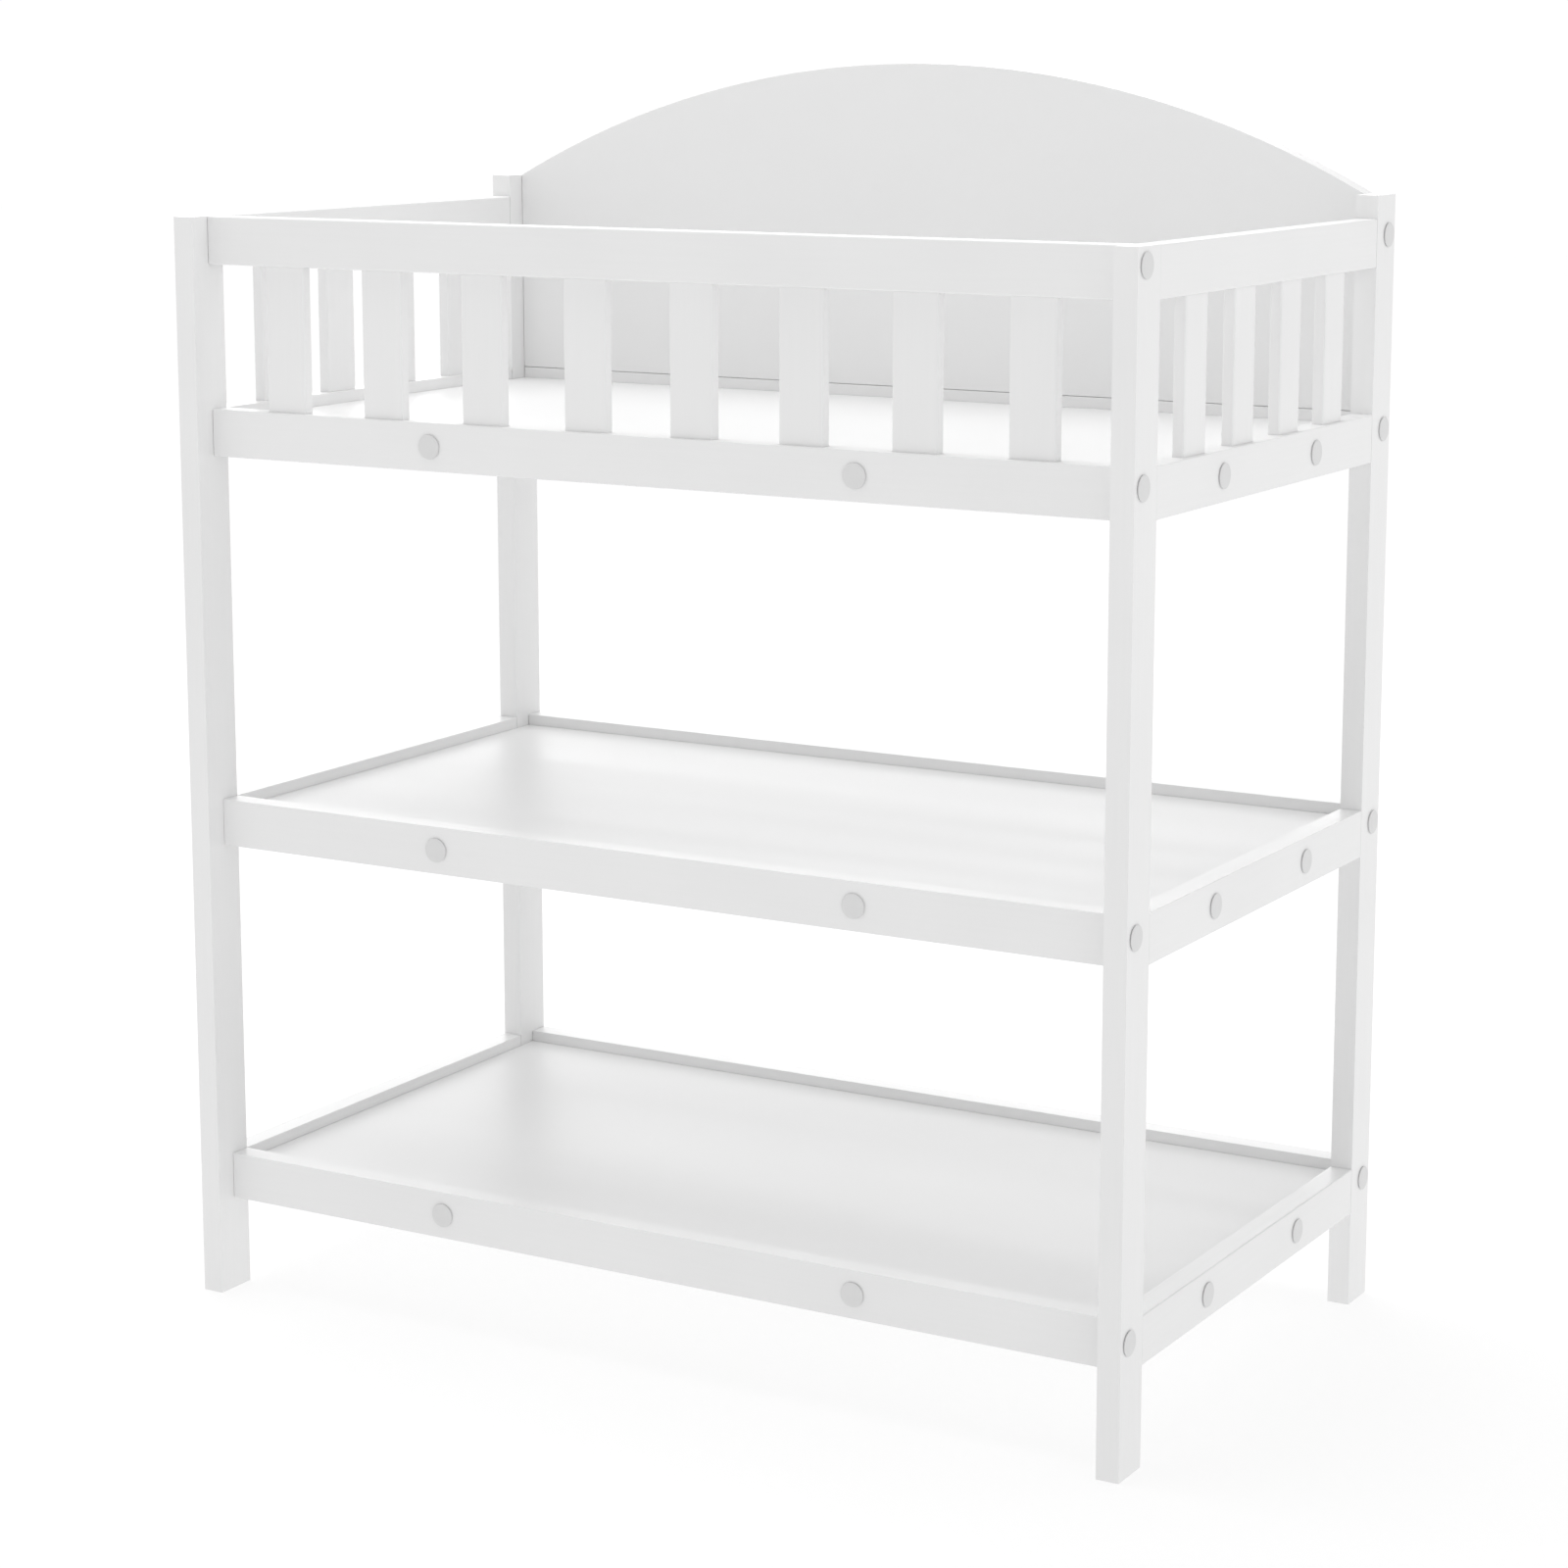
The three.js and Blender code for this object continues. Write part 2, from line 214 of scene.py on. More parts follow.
def mouldedPolypropylene(name):
    plastic = capPlastic
    material = newMaterial(name)
    tree = material.node_tree
    place = addNode(tree, "ShaderNodeTexCoord").outputs["Object"]
    flow = addNode(tree, "ShaderNodeTexNoise", {}, {
        "Vector": place, "Scale": perMetre(plastic["flowSize"]), "Detail": 2.0})
    grit = addNode(tree, "ShaderNodeTexNoise", {}, {
        "Vector": place, "Scale": perMetre(plastic["gritSize"]), "Detail": 1.0})
    colour = addNode(tree, "ShaderNodeMix", {"data_type": "RGBA"}, {
        mixFactor: flow.outputs["Fac"],
        mixFirst: linearColour(plastic["grey"]), mixSecond: linearColour(plastic["flowGrey"])})
    sheen = addNode(tree, "ShaderNodeMapRange", {}, {
        "Value": grit.outputs["Fac"], "From Min": noiseLow, "From Max": noiseHigh,
        "To Min": plastic["roughness"][0], "To Max": plastic["roughness"][1]})
    bump = addNode(tree, "ShaderNodeBump", {}, {
        "Height": grit.outputs["Fac"], "Distance": mm(plastic["gritDepth"])})
    surface = addNode(tree, "ShaderNodeBsdfPrincipled", {}, {
        "Base Color": colour.outputs[mixResult], "Roughness": sheen.outputs["Result"],
        "Normal": bump.outputs["Normal"], "IOR": plastic["ior"]})
    addNode(tree, "ShaderNodeOutputMaterial", {}, {"Surface": surface.outputs["BSDF"]})
    return material


# Barrel-plated zinc with a clear passivate: a cool silver, clouded by handling in the barrel.
zincPlate = {
    "silver": "#c9ccd0",
    "cloudSilver": "#b4b8be",
    "cloudSize": 4,
    "scuffSize": (0.5, 6, 0.5),  # barrel scuffs, drawn broader than they are so that they show
    "scuffDepth": 0.01,
    "roughness": (0.24, 0.42),
}


def barrelZinc(name):
    zinc = zincPlate
    material = newMaterial(name)
    tree = material.node_tree
    place = addNode(tree, "ShaderNodeTexCoord").outputs["Object"]
    cloud = addNode(tree, "ShaderNodeTexNoise", {}, {
        "Vector": place, "Scale": perMetre(zinc["cloudSize"]), "Detail": 2.0})
    drawn = addNode(tree, "ShaderNodeMapping", {}, {
        "Vector": place, "Scale": perMetre(zinc["scuffSize"])})
    scuff = addNode(tree, "ShaderNodeTexNoise", {}, {
        "Vector": drawn.outputs["Vector"], "Scale": 1.0, "Detail": 2.0})
    colour = addNode(tree, "ShaderNodeMix", {"data_type": "RGBA"}, {
        mixFactor: cloud.outputs["Fac"],
        mixFirst: linearColour(zinc["silver"]), mixSecond: linearColour(zinc["cloudSilver"])})
    sheen = addNode(tree, "ShaderNodeMapRange", {}, {
        "Value": cloud.outputs["Fac"], "From Min": noiseLow, "From Max": noiseHigh,
        "To Min": zinc["roughness"][0], "To Max": zinc["roughness"][1]})
    bump = addNode(tree, "ShaderNodeBump", {}, {
        "Height": scuff.outputs["Fac"], "Distance": mm(zinc["scuffDepth"])})
    surface = addNode(tree, "ShaderNodeBsdfPrincipled", {}, {
        "Base Color": colour.outputs[mixResult], "Metallic": 1.0,
        "Roughness": sheen.outputs["Result"], "Normal": bump.outputs["Normal"]})
    addNode(tree, "ShaderNodeOutputMaterial", {}, {"Surface": surface.outputs["BSDF"]})
    return material


# Beech dowels, turned and pressed with glue flutes: dry pinkish wood with short dark ray flecks.
beechWood = {
    "light": "#d9b48c",
    "fleck": "#b98a5e",
    "fleckSize": (0.6, 0.6, 5),  # rays show as short dark dashes along the dowel
    "fleckRange": (0.4, 0.7),  # the part of the noise that shows as flecks
    "grainDepth": 0.03,
    "roughness": (0.6, 0.75),
    "ior": 1.45,
}


def turnedBeech(name):
    wood = beechWood
    material = newMaterial(name)
    tree = material.node_tree
    place = addNode(tree, "ShaderNodeTexCoord").outputs["Object"]
    drawn = addNode(tree, "ShaderNodeMapping", {}, {
        "Vector": place, "Scale": perMetre(wood["fleckSize"])})
    fleck = addNode(tree, "ShaderNodeTexNoise", {}, {
        "Vector": drawn.outputs["Vector"], "Scale": 1.0, "Detail": 3.0})
    amount = addNode(tree, "ShaderNodeMapRange", {}, {
        "Value": fleck.outputs["Fac"],
        "From Min": wood["fleckRange"][0], "From Max": wood["fleckRange"][1]})
    colour = addNode(tree, "ShaderNodeMix", {"data_type": "RGBA"}, {
        mixFactor: amount.outputs["Result"],
        mixFirst: linearColour(wood["light"]), mixSecond: linearColour(wood["fleck"])})
    dryness = addNode(tree, "ShaderNodeMapRange", {}, {
        "Value": fleck.outputs["Fac"], "From Min": noiseLow, "From Max": noiseHigh,
        "To Min": wood["roughness"][0], "To Max": wood["roughness"][1]})
    bump = addNode(tree, "ShaderNodeBump", {}, {
        "Height": fleck.outputs["Fac"], "Distance": mm(wood["grainDepth"])})
    surface = addNode(tree, "ShaderNodeBsdfPrincipled", {}, {
        "Base Color": colour.outputs[mixResult], "Roughness": dryness.outputs["Result"],
        "Normal": bump.outputs["Normal"], "IOR": wood["ior"]})
    addNode(tree, "ShaderNodeOutputMaterial", {}, {"Surface": surface.outputs["BSDF"]})
    return material


paints = {axis: sprayedPine("satin lacquer on pine, grain along " + axis, axis) for axis in "xyz"}
boardFinish = rolledFibreboard("rolled paint on fibreboard")
capFinish = mouldedPolypropylene("moulded polypropylene")
zincFinish = barrelZinc("barrel zinc plate")
beechFinish = turnedBeech("turned beech")
print("materials:", len(bpy.data.materials))


# The wood's edges: a machined round on the long ones, a sanded break at ends and round holes.
edgeEasing = {
    "round": 1.5,  # radius of the machined round
    "break": 0.5,  # sanded break where pieces meet, and round holes and mortises
    "boardRound": 0.6,
    "segments": 3,
    "longRun": 60,  # edges of a bar shorter than this are its ends
    "arcRun": 12,  # shortest facet of the panel's arc
    "sharpAngle": 50,  # facets of the bored holes meet at less than this
    "flatAngle": 0.5,  # triangles of one flat face meet at less than this
    "onFace": 0.01,  # points this close lie on the same face, or are the same point
}


def edgeKey(a, b):
    return frozenset(tuple(round(c * 1e5) for c in point) for point in (a, b))


# The sharp edges of a node's mesh, each with the number of its box's faces that it lies on.
def sharpEdges(node):
    low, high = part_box(node.name)
    near = mm(edgeEasing["onFace"])
    found = {}
    joined = bmesh.new()
    joined.from_mesh(node.data)
    bmesh.ops.remove_doubles(joined, verts=joined.verts, dist=near)
    for edge in joined.edges:
        if len(edge.link_faces) != 2:
            continue
        if edge.calc_face_angle(0.0) < math.radians(edgeEasing["sharpAngle"]):
            continue
        a, b = (vertex.co.copy() for vertex in edge.verts)
        faces = 0
        for axis in range(3):
            for side in (low, high):
                faces += all(abs(point[axis] - side[axis]) < near for point in (a, b))
        found[edgeKey(a, b)] = (faces, b - a)
    joined.free()
    return found


# Rounds a CAD node's edges with modifiers, so that its own mesh stays as it came.
def easeEdges(node, width, weightOf):
    mesh = node.data
    sharp = sharpEdges(node)
    weights = mesh.attributes.new("bevel_weight_edge", "FLOAT", "EDGE")
    if mesh.has_custom_normals:
        mesh.attributes.remove(mesh.attributes["custom_normal"])
    for edge in mesh.edges:
        a, b = (mesh.vertices[i].co for i in edge.vertices)
        place = sharp.get(edgeKey(a, b))
        edge.use_edge_sharp = place is not None
        if place is not None:
            weights.data[edge.index].value = weightOf(*place)
    for polygon in mesh.polygons:
        polygon.use_smooth = True
    weld = node.modifiers.new("join split corners", "WELD")
    weld.merge_threshold = mm(edgeEasing["onFace"])
    flat = node.modifiers.new("join flat faces", "DECIMATE")
    flat.decimate_type = "DISSOLVE"
    flat.angle_limit = math.radians(edgeEasing["flatAngle"])
    bevel = node.modifiers.new("ease edges", "BEVEL")
    bevel.limit_method = "WEIGHT"
    bevel.width = mm(width)
    bevel.segments = edgeEasing["segments"]
    bevel.harden_normals = True


# Weight 1 gives the machined round and the lower weight the sanded break.
breakWeight = edgeEasing["break"] / edgeEasing["round"]


def postWeight(faces, run):
    return 1.0 if faces == 2 else breakWeight


def barWeight(faces, run):
    long = run.length > mm(edgeEasing["longRun"])
    return 1.0 if faces == 2 and long else breakWeight


# The panel's arc is rounded; its bottom and its ends stand against other pieces.
def panelWeight(faces, run):
    upright = abs(run.z) > abs(run.x)
    arc = faces == 1 and run.length > mm(edgeEasing["arcRun"]) and not upright
    return 1.0 if arc else breakWeight


def boardWeight(faces, run):
    return 1.0 if faces == 2 else edgeEasing["break"] / edgeEasing["boardRound"]


def finishNode(name, material, weightOf, width=edgeEasing["round"]):
    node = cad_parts[name]
    node.data.materials.clear()
    node.data.materials.append(material)
    easeEdges(node, width, weightOf)


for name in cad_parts:
    if name.endswith("_post"):
        finishNode(name, paints["z"], postWeight)
    elif "_slat_" in name:
        finishNode(name, paints["z"], barWeight)
    elif name.endswith("_rail"):
        along = "y" if name.split("_")[0] in sides else "x"
        finishNode(name, paints[along], barWeight)
for name in ("changing_deck", "middle_shelf", "bottom_shelf"):
    finishNode(name, boardFinish, boardWeight, edgeEasing["boardRound"])
finishNode("arched_back_panel", boardFinish, panelWeight)
print("wood: edges eased and painted")


creaseAngle = 35  # degrees: hardware is smooth over anything flatter
weldReach = 0.002  # points left this close by a cut are joined
overshoot = 1  # cutters start this far above the face that they enter


# A mesh for a piece of hardware, which is made round its own Z axis.
def meshFrom(mesh, name, material):
    made = bpy.data.meshes.new(name)
    bmesh.ops.recalc_face_normals(mesh, faces=mesh.faces)
    for face in mesh.faces:
        face.smooth = True
    for edge in mesh.edges:
        edge.smooth = edge.calc_face_angle(0.0) < math.radians(creaseAngle)
    mesh.to_mesh(made)
    mesh.free()
    made.materials.append(material)
    return made


# A closed turned shape. The profile runs from the axis to the axis as (radius, height), and bend
# may move a point by its angle, which makes flutes and threads.
def turned(profile, sides, bend=None):
    mesh = bmesh.new()
    rings = []
    for radius, height in profile:
        if radius == 0:
            rings.append([mesh.verts.new((0, 0, mm(height)))])
            continue
        ring = []
        for i in range(sides):
            angle = 2 * math.pi * i / sides
            r, z = bend(radius, height, angle) if bend else (radius, height)
            ring.append(mesh.verts.new((mm(r) * math.cos(angle), mm(r) * math.sin(angle), mm(z))))
        rings.append(ring)
    for lower, upper in zip(rings, rings[1:]):
        for i in range(sides):
            j = (i + 1) % sides
            corners = []
            for ring, k in ((lower, i), (lower, j), (upper, j), (upper, i)):
                vertex = ring[k % len(ring)]
                if vertex not in corners:
                    corners.append(vertex)
            mesh.faces.new(corners)
    return mesh


# A quarter round from one profile point towards another, for softened corners of a profile.
def corner(centre, radius, fromDegrees, toDegrees, steps=4):
    points = []
    for i in range(steps + 1):
        angle = math.radians(fromDegrees + (toDegrees - fromDegrees) * i / steps)
        points.append((centre[0] + radius * math.cos(angle), centre[1] + radius * math.sin(angle)))
    return points


def bar(size, centre, turn=0.0):
    mesh = bmesh.new()
    bmesh.ops.create_cube(mesh, size=1.0)
    scale = Matrix.Diagonal([*(mm(s) for s in size), 1.0])
    place = Matrix.Rotation(turn, 4, "Z") @ Matrix.Translation([mm(c) for c in centre])
    bmesh.ops.transform(mesh, matrix=place @ scale, verts=mesh.verts)
    return mesh


def prism(sides, radius, low, high, turn=0.0):
    mesh = turned([(0, low), (radius, low), (radius, high), (0, high)], sides)
    bmesh.ops.transform(mesh, matrix=Matrix.Rotation(turn, 4, "Z"), verts=mesh.verts)
    return mesh


# Cuts the cutters out of a blank with booleans and returns the result, still editable.
def cutOut(blank, cutters):
    holders = []
    for shape in (blank, *cutters):
        bmesh.ops.recalc_face_normals(shape, faces=shape.faces)
        data = bpy.data.meshes.new("cutting")
        shape.to_mesh(data)
        shape.free()
        holder = bpy.data.objects.new("cutting", data)
        bpy.context.scene.collection.objects.link(holder)
        holders.append(holder)
    work = holders[0]
    for cutter in holders[1:]:
        cut = work.modifiers.new("cut", "BOOLEAN")
        cut.operation = "DIFFERENCE"
        cut.solver = "EXACT"
        cut.object = cutter
    bpy.context.view_layer.update()
    evaluated = work.evaluated_get(bpy.context.evaluated_depsgraph_get())
    result = bmesh.new()
    result.from_mesh(evaluated.to_mesh())
    evaluated.to_mesh_clear()
    for holder in holders:
        data = holder.data
        bpy.data.objects.remove(holder)
        bpy.data.meshes.remove(data)
    bmesh.ops.remove_doubles(result, verts=result.verts, dist=mm(weldReach))
    return result


def addPiece(name, data, origin, axis, roll=0.0):
    piece = bpy.data.objects.new(name, data)
    bpy.context.scene.collection.objects.link(piece)
    turn = Vector((0, 0, 1)).rotation_difference(Vector(axis)).to_matrix().to_4x4()
    piece.matrix_world = Matrix.Translation(origin) @ turn @ Matrix.Rotation(roll, 4, "Z")
    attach(piece, body)
    return piece


# Cover cap: a thin disc with a rounded lip that stands off the wood, and a ribbed peg.
coverCap = {
    "radius": 10.0,
    "proud": 1.5,
    "lip": 0.45,  # round of the outer edge
    "seat": 9.0,  # radius that bears on the wood, behind the lip
    "seatHeight": 0.45,
    "lift": 0.12,  # off the wood, so that no faces lie in each other
    "flatRadius": 6.0,
    "dome": (0.03, 0.05),  # rise at that radius and at the middle
    "pegRadius": 1.6,
    "pegLength": 4.5,
    "pegTip": 1.12,  # radius
    "pegPoint": 0.6,  # length of its taper
    "pegRibs": 4,
    "ribDepth": 0.12,  # as a share of the peg's radius
    "sides": 48,
}


def coverCapMesh():
    cap = coverCap
    lipCentre = (cap["radius"] - cap["lip"], cap["proud"] - cap["lip"])
    pegEnd = -cap["pegLength"]
    profile = [(0, pegEnd), (cap["pegTip"], pegEnd),
               (cap["pegRadius"], pegEnd + cap["pegPoint"]), (cap["pegRadius"], cap["lift"]),
               (cap["seat"], cap["lift"]), (cap["seat"], cap["seatHeight"]),
               *corner(lipCentre, cap["lip"], -60, 90, 8),
               (cap["flatRadius"], cap["proud"] + cap["dome"][0]),
               (0, cap["proud"] + cap["dome"][1])]

    def ribs(radius, height, angle):
        if height < cap["lift"] and radius >= cap["pegRadius"]:
            return radius * (1 + cap["ribDepth"] * math.cos(cap["pegRibs"] * angle)), height
        return radius, height

    return meshFrom(turned(profile, cap["sides"], ribs), "cover cap", capFinish)


# Cam lock: a die-cast drum with a cross slot, and a window that draws in the bolt's head.
camLock = {
    "radius": 7.35,
    "length": 13.2,
    "baseEdge": 0.6,
    "faceEdge": 0.35,
    "groove": (7.1, 1.5, 2.1),  # radius at the bottom, and its reach below the face
    "grooveSlope": 0.3,
    "dish": (3.6, 0.25),  # radius and depth of the hollow round the slot
    "dishSlope": 0.4,
    "slot": (7.6, 1.5, 6.4),  # length, width, and twice the depth, because half of it cuts air
    "slotHeart": (2.1, 3.2),  # radius and depth of the round middle of the cross
    "mark": (2.6, 0.9, 1.0),  # the mark that points to the bolt
    "markAt": 5.4,
    "window": (9.0, 7.4, 7.03),  # the way in for the bolt's head, from the drum's axis out
    "track": (3.4, 4.2),  # width and height of the curved slot that draws the bolt in
    "trackAt": 3.0,
    "trackSteps": 5,
    "trackTurn": 0.42,  # radians for each step
    "trackRise": 0.35,  # the slot ends this much nearer the axis at each step
    "sides": 40,
    "setback": 24.3,  # from the joint face of its piece
    "boltDepth": 9.5,  # bolt axis below the face of its piece
    "railSink": 0.15,
    "postSink": 1.5,  # the cams in the posts sit this far below the surface, under the cap
}


# sink shortens the drum from its face, so that its window still lines up with the bolt.
def camLockMesh(name, sink):
    cam = camLock
    radius, edge, slope = cam["radius"], cam["faceEdge"], cam["grooveSlope"]
    top = -sink
    low = -cam["length"]
    grooveRadius, grooveTop, grooveLow = cam["groove"]
    dishRadius, dishDepth = cam["dish"]
    profile = [(0, low), (radius - cam["baseEdge"], low), (radius, low + cam["baseEdge"]),
               (radius, top - grooveLow - slope), (grooveRadius, top - grooveLow),
               (grooveRadius, top - grooveTop), (radius, top - grooveTop + slope),
               (radius, top - edge), (radius - edge, top), (dishRadius, top),
               (dishRadius - cam["dishSlope"], top - dishDepth), (0, top - dishDepth)]
    axisZ = -cam["boltDepth"]
    heartRadius, heartDepth = cam["slotHeart"]
    cutters = [
        bar(cam["slot"], (0, 0, top), math.pi / 4),
        bar(cam["slot"], (0, 0, top), -math.pi / 4),
        prism(16, heartRadius, top - heartDepth, top + overshoot),
        bar(cam["mark"], (cam["markAt"], 0, top)),
        bar(cam["window"], (cam["window"][0] / 2, 0, axisZ)),
    ]
    for i in range(1, cam["trackSteps"] + 1):
        reach = cam["window"][0] - cam["trackRise"] * i
        middle = (reach / 2 + cam["trackAt"], 0, axisZ)
        cutters.append(bar((reach, *cam["track"]), middle, cam["trackTurn"] * i))
    return meshFrom(cutOut(turned(profile, cam["sides"]), cutters), name, zincFinish)


# Cam bolt: a thread in the one piece, and in the other a sleeve, a neck and a round head.
camBolt = {
    "threadRadius": 2.42,
    "threadRoot": 1.75,
    "threadLength": 11.3,
    "pitch": 2.0,
    "sleeve": 3.3,
    "sleeveLength": 16.5,
    "sleeveEdge": 0.4,
    "seatEdge": 0.3,
    "seatRise": 0.15,
    "neck": 1.8,
    "head": 3.2,
    "headAt": 24.3,
    "headBelow": 0.6,  # the round of the head is struck from this far before its middle
    "headTip": 2.2,
    "point": 0.9,
    "runOut": 0.3,  # plain end of the thread, below the sleeve
    "seat": 2.2,  # radius where the sleeve meets the wood
    "sides": 20,
}


# Bends a stack of rings into a screw thread: the height of each point follows its angle.
def threadBend(low, high, pitch):
    def bend(radius, height, angle):
        if low < height < high:
            return radius, min(max(height + pitch * (angle / (2 * math.pi) - 0.5), low), high)
        return radius, height
    return bend


def threadRings(low, high, pitch, root, crest):
    rings = []
    height = low + pitch
    while height < high - pitch:
        rings += [(root, height - pitch * 0.3), (crest, height), (root, height + pitch * 0.3)]
        height += pitch
    return rings


def camBoltMesh():
    bolt = camBolt
    end = -bolt["threadLength"]
    root, sleeve = bolt["threadRoot"], bolt["sleeve"]
    edge, seatEdge, seatRise = bolt["sleeveEdge"], bolt["seatEdge"], bolt["seatRise"]
    rings = threadRings(end, -bolt["runOut"], bolt["pitch"], root, bolt["threadRadius"])
    profile = [(0, end), (bolt["point"], end), (root, end + bolt["point"]), *rings,
               (root, -bolt["runOut"]), (bolt["seat"], 0), (sleeve - seatEdge, seatRise),
               (sleeve, seatRise + seatEdge), (sleeve, bolt["sleeveLength"] - edge),
               (sleeve - edge, bolt["sleeveLength"]), (bolt["neck"], bolt["sleeveLength"]),
               (bolt["neck"], bolt["headAt"] - bolt["head"]),
               *corner((0, bolt["headAt"] - bolt["headBelow"]), bolt["head"], -50, 60, 6),
               (0, bolt["headAt"] + bolt["headTip"])]
    bend = threadBend(end + bolt["point"], -bolt["runOut"], bolt["pitch"])
    return meshFrom(turned(profile, bolt["sides"], bend), "cam bolt", zincFinish)


# Dowel: fluted beech with chamfered ends.
beechDowel = {
    "radius": 3.0,
    "length": 25.0,
    "flutes": 10,
    "flute": 0.22,  # depth
    "chamfer": (0.9, 1.0),  # in from the side and up from the end
}


def dowelMesh():
    dowel = beechDowel
    radius = dowel["radius"]
    half = dowel["length"] / 2
    inward, upward = dowel["chamfer"]
    profile = [(0, -half), (radius - inward, -half), (radius, -half + upward), (radius, 0),
               (radius, half - upward), (radius - inward, half), (0, half)]

    def flutes(r, height, angle):
        wave = 0.5 + 0.5 * math.cos(dowel["flutes"] * angle)
        return r - dowel["flute"] * (1 - wave) ** 2, height

    sidesPerFlute = 6
    sides = dowel["flutes"] * sidesPerFlute
    return meshFrom(turned(profile, sides, flutes), "beech dowel", beechFinish)


# Board screw: a flat head with a hexagon socket, a plain shank and a coarse thread.
boardScrew = {
    "head": 5.1,
    "headTop": -2.6,  # heights from the face of the rail
    "headBottom": -5.8,
    "headEdge": (0.3, 0.5),  # below and above
    "dish": (3.0, 0.05),  # radius and rise of the plain face round the socket
    "shank": 3.45,
    "shankEnd": -20.5,
    "threadRadius": 2.6,
    "threadRoot": 2.0,
    "pitch": 3.0,
    "end": -54.0,
    "point": 0.7,
    "pointRise": 0.2,
    "pointLength": 3.0,
    "runOut": 0.4,  # plain end of the thread, below the shank
    "shankSlope": 1.2,
    "sides": 24,
    "socket": 2.35,  # corner radius of the hexagon
    "socketDepth": 2.6,
}


def boardScrewMesh():
    screw = boardScrew
    root, shank, head = screw["threadRoot"], screw["shank"], screw["head"]
    top, bottom = screw["headTop"], screw["headBottom"]
    lowEdge, highEdge = screw["headEdge"]
    dishRadius, dishRise = screw["dish"]
    threadLow = screw["end"] + screw["pointLength"]
    threadHigh = screw["shankEnd"] - screw["runOut"]
    rings = threadRings(threadLow - 1, screw["shankEnd"], screw["pitch"], root,
                        screw["threadRadius"])
    profile = [(0, screw["end"]), (screw["point"], screw["end"] + screw["pointRise"]),
               (root, threadLow), *rings, (root, threadHigh),
               (shank, screw["shankEnd"] + screw["shankSlope"]),
               (shank, bottom), (head - lowEdge, bottom), (head, bottom + lowEdge),
               (head, top - highEdge), (head - highEdge, top),
               (dishRadius, top + dishRise), (0, top + dishRise)]
    socket = prism(6, screw["socket"], top - screw["socketDepth"], top + overshoot)
    blank = turned(profile, screw["sides"], threadBend(threadLow, threadHigh, screw["pitch"]))
    return meshFrom(cutOut(blank, [socket]), "board screw", zincFinish)


capMesh = coverCapMesh()
railCamMesh = camLockMesh("cam lock", camLock["railSink"])
postCamMesh = camLockMesh("short cam lock", camLock["postSink"])
boltMesh = camBoltMesh()
dowelData = dowelMesh()
screwMesh = boardScrewMesh()
print("hardware shapes:", [(m.name, len(m.polygons)) for m in bpy.data.meshes if m.users == 0])

# Where the joints lie, as heights from the middles of the rails, from the panel's bottom edge
# or from the tops of the back posts.
jointHeights = {
    "side": {"bolt": 6, "dowel": -10},
    "front": {"bolt": -2, "dowel": 13},
    "back": {"bolt": -5, "dowel": -13},
    "panelLow": {"bolt": 30, "dowel": 62},
    "panelHigh": {"bolt": -68, "dowel": -18},
}
screwPlaces = {"long": 195.5, "side": 90.0}  # from the middle of the rail
boardDrop = 10  # the boards lie this far below the rails' tops
dowelBack = 0.9  # dowels of the long rails are set this far back from thin posts


def middleOf(name):
    low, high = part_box(name)
    return (low + high) / 2


# Side frames: the cams are in the posts, the bolts and dowels come out of the side rails.
def addSideJoint(sideName, endName, level, number):
    side, end = sides[sideName], ends[endName]
    post, rail = f"{endName}_{sideName}_post", f"{sideName}_{level}_rail"
    cap = middleOf(f"{post}_cap_{number}")
    postLow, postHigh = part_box(post)
    face = postHigh.x if side > 0 else postLow.x
    railMiddle = middleOf(rail)
    outward = (side, 0, 0)
    cover = addPiece(f"{post}_cover_{number}", capMesh, (face, cap.y, cap.z), outward)
    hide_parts(f"{post}_cap_{number}")
    railLow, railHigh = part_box(rail)
    jointY = railHigh.y if end > 0 else railLow.y
    heights = jointHeights["side"]
    addPiece(f"{post}_cam_{number}", postCamMesh, (face, cap.y, cap.z), outward,
             camRoll(outward, (0, -end, 0)))
    boltPlace = (railMiddle.x, jointY, railMiddle.z + mm(heights["bolt"]))
    addPiece(f"{post}_cam_bolt_{number}", boltMesh, boltPlace, (0, end, 0))
    dowelPlace = (railMiddle.x, jointY, railMiddle.z + mm(heights["dowel"]))
    addPiece(f"{post}_dowel_{number}", dowelData, dowelPlace, (0, end, 0))


# The roll that turns a cam's window, which is at its own +X, to face a direction.
def camRoll(axis, direction):
    turn = Vector((0, 0, 1)).rotation_difference(Vector(axis))
    local = turn.inverted() @ Vector(direction)
    return math.atan2(local.y, local.x)


# Long rails and the panel: their cams are in their rear faces, the bolts and dowels go into posts.
def addLongJoint(piece, side, boltZ, dowelZ, number):
    low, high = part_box(piece)
    jointX = high.x if side > 0 else low.x
    middleY = (low.y + high.y) / 2
    camX = jointX - side * mm(camLock["setback"])
    addPiece(f"{piece}_cam_{number}", railCamMesh, (camX, high.y, boltZ), (0, 1, 0),
             camRoll((0, 1, 0), (side, 0, 0)))
    addPiece(f"{piece}_cam_bolt_{number}", boltMesh, (jointX, middleY, boltZ), (-side, 0, 0))
    dowelX = jointX - side * mm(dowelBack)
    addPiece(f"{piece}_dowel_{number}", dowelData, (dowelX, middleY, dowelZ), (side, 0, 0))


